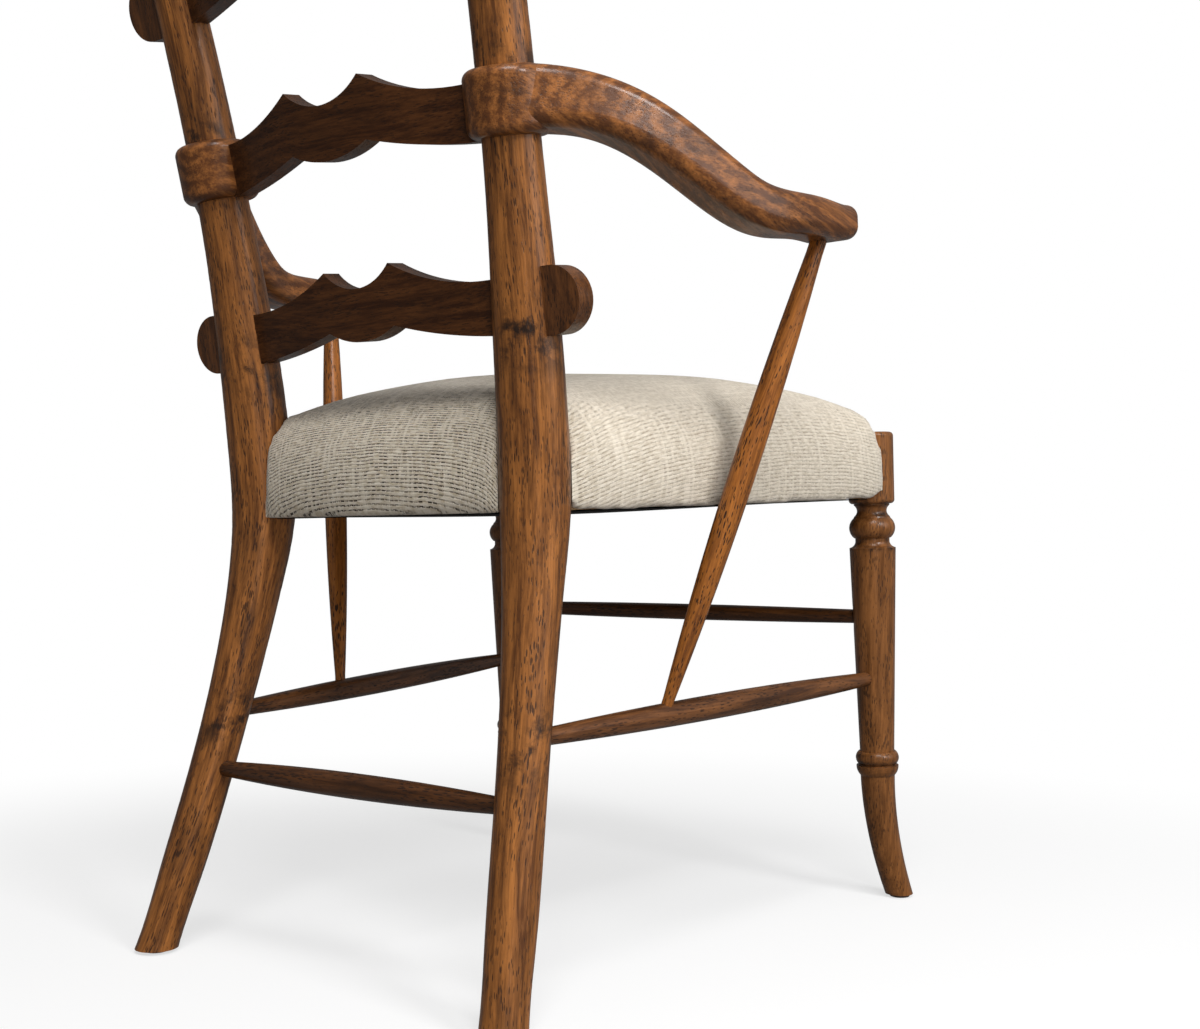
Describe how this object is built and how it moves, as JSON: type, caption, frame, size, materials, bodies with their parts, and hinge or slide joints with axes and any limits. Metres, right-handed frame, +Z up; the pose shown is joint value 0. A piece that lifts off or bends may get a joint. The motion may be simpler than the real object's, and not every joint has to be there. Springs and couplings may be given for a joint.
{
  "type": "ladder back armchair",
  "caption": "Ladder back armchair with shaped back slats, collared curved arms on slanting spindles, turned front legs, sabre rear posts and a stuffed-over fabric seat.",
  "frame": {"origin": "on the floor, under the middle of the chair's outer box", "axes": "+Z up; the sitter faces -Y; +X is at the sitter's left hand"},
  "size_m": [0.6424, 0.6551, 1.032],
  "materials": {
    "walnut": "glazed satin lacquer",
    "frame_wood": "bare beech",
    "screw_steel": "zinc plated",
    "webbing": "woven jute",
    "foam": "open cell foam",
    "chenille": "slubby ribbed chenille",
    "dust_cloth": "black non-woven cloth",
    "glide_nylon": "brown nylon"
  },
  "bodies": {
    "root": {"arm_left": "walnut", "arm_right": "walnut", "arm_support_left": "walnut", "arm_support_right": "walnut", "corner_block_screws": "screw_steel", "corner_blocks": "frame_wood", "dust_cover": "dust_cloth", "foot_glides": "glide_nylon", "front_leg_left": "walnut", "front_leg_right": "walnut", "front_stretcher": "walnut", "rear_post_left": "walnut", "rear_post_right": "walnut", "rear_stretcher": "walnut", "seat_cover": "chenille", "seat_foam": "foam", "seat_rail_front": "frame_wood", "seat_rail_left": "frame_wood", "seat_rail_rear": "frame_wood", "seat_rail_right": "frame_wood", "side_stretcher_left": "walnut", "side_stretcher_right": "walnut", "slat_arm": "walnut", "slat_crest": "walnut", "slat_ears_left": "walnut", "slat_ears_right": "walnut", "slat_lower": "walnut", "slat_upper": "walnut", "webbing_crosswise": "webbing", "webbing_lengthwise": "webbing"}
  },
  "joints": []
}
